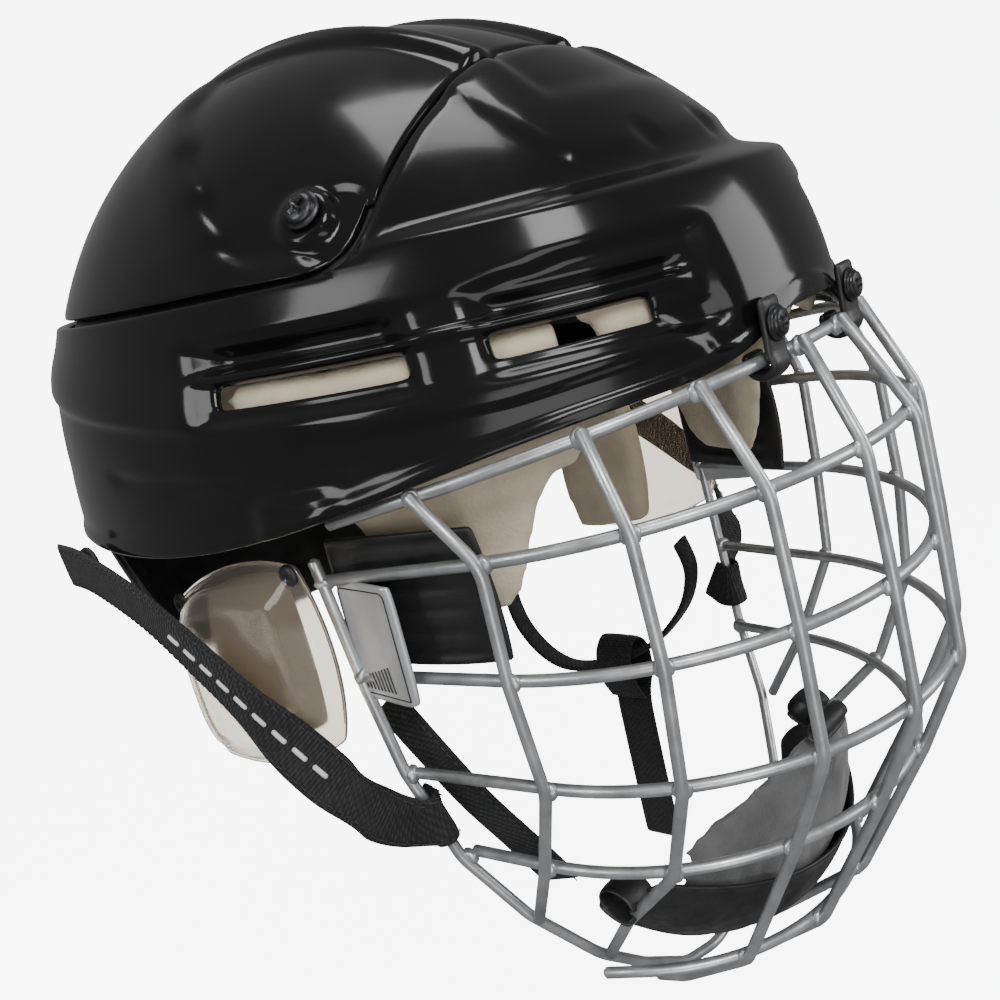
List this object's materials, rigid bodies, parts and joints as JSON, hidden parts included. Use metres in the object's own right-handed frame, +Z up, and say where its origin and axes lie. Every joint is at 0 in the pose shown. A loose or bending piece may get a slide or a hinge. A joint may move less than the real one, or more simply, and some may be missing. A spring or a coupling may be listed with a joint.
{
  "type": "hockey helmet with wire face cage",
  "caption": "Two-piece ice hockey helmet with foam lining, side vents, ear guards and a hinged wire face cage with chin cup and webbing straps.",
  "frame": {"origin": "middle of the head opening, level with the third cage bar and midway along the helmet's inside", "axes": "+Z up towards the crown, -Y the way the wearer faces, +X towards the wearer's left"},
  "size_m": [0.2294, 0.3022, 0.3384],
  "materials": {
    "shell": "high gloss moulded shell",
    "foam": "matt closed-cell foam",
    "wire": "satin silver coating over steel wire",
    "clear": "clear polycarbonate",
    "cup_lining": "soft grey moulded pad",
    "webbing": "black woven nylon",
    "screw": "black oxide steel",
    "trim": "fine textured black plastic"
  },
  "bodies": {
    "helmet": {"front_shell": "shell", "front_liner": "foam", "temple_liner_r": "foam", "temple_liner_l": "foam", "wire_clip_r": "trim", "wire_clip_l": "trim", "wire_clip_screws": "screw", "temple_piece_r": "trim", "temple_piece_l": "trim", "ear_guard_r": "clear", "ear_guard_l": "clear", "ear_pad_r": "foam", "ear_pad_l": "foam", "ear_guard_rivets": "trim", "ear_loop_l": "webbing"},
    "rear": {"rear_shell": "shell", "crown_liner": "foam", "rear_liner": "foam", "size_screws": "screw", "nape_piece": "trim", "strap_snaps": "trim"},
    "cage": {"bar_1": "wire", "bar_2": "wire", "bar_3": "wire", "bar_4": "wire", "bar_5": "wire", "bar_6": "wire", "post_1": "wire", "post_2": "wire", "post_3": "wire", "post_4": "wire", "post_5": "wire", "post_6": "wire", "post_7": "wire", "post_8": "wire", "rim_wire": "wire", "size_plate_r": "wire", "size_plate_l": "wire", "chin_cup_shell": "trim", "chin_cup_lining": "cup_lining", "chin_cup_clips": "trim"},
    "strap_right": {"side_strap_r": "webbing"},
    "strap_left": {"side_strap_l": "webbing"},
    "hanging_strap": {"chin_strap_l": "webbing"},
    "fastened_strap": {"chin_strap_r": "webbing"}
  },
  "joints": [
    {"name": "size_adjust", "type": "slide", "parent": "helmet", "child": "rear", "axis": [0, 1, 0], "range_m": [0, 0.012]},
    {"name": "cage_flip", "type": "hinge", "parent": "helmet", "child": "cage", "pos_m": [0, -0.1349, 0.0602], "axis": [-1, 0, 0], "range_deg": [0, 95]},
    {"name": "side_strap_r_swing", "type": "hinge", "parent": "cage", "child": "strap_right", "pos_m": [-0.08325, -0.044, -0.045], "axis": [-0.208, 0.192, 0.9591], "range_deg": [0, 80]},
    {"name": "side_strap_l_swing", "type": "hinge", "parent": "cage", "child": "strap_left", "pos_m": [0.08325, -0.044, -0.045], "axis": [-0.208, -0.192, -0.9591], "range_deg": [0, 80]},
    {"name": "chin_strap_l_swing", "type": "hinge", "parent": "helmet", "child": "hanging_strap", "pos_m": [0.086, 0.016, -0.0815], "axis": [0, 1, 0], "range_deg": [-22, 22]},
    {"name": "chin_strap_r_swing", "type": "hinge", "parent": "helmet", "child": "fastened_strap", "pos_m": [-0.078, -0.031, -0.014], "axis": [1, 0, 0], "range_deg": [0, 30]}
  ]
}
